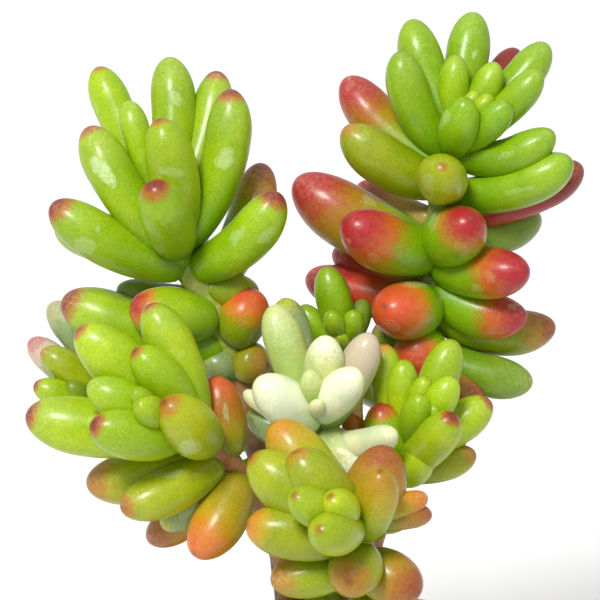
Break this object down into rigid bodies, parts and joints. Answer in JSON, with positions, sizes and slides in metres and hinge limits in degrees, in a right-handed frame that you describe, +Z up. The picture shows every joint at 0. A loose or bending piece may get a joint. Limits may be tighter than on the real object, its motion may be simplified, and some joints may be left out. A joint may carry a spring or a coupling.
{
  "type": "potted jelly bean plant",
  "caption": "Small potted succulent: upright bare stems crowned with plump bean-shaped leaves, green with red tips, rooted in soil in a plain tapered clay pot.",
  "frame": {"origin": "centre of the pot's foot, on the surface that it stands on", "axes": "+Z up along the pot's axis; -Y towards the plant's front, from which it is seen in the picture; +X to the right there"},
  "size_m": [0.0853, 0.0813, 0.1576],
  "materials": {
    "clay": "matte",
    "earth": "matte",
    "leaf": "satin",
    "pale_leaf": "satin"
  },
  "bodies": {
    "root": {"pot": "clay", "soil": "earth", "shoot_back_left": "leaf", "shoot_back_right": "leaf", "shoot_left": "leaf", "shoot_front": "leaf", "shoot_right": "leaf", "shoot_young": "leaf", "shoot_pale": "pale_leaf", "shoot_far_left": "leaf"}
  },
  "joints": []
}
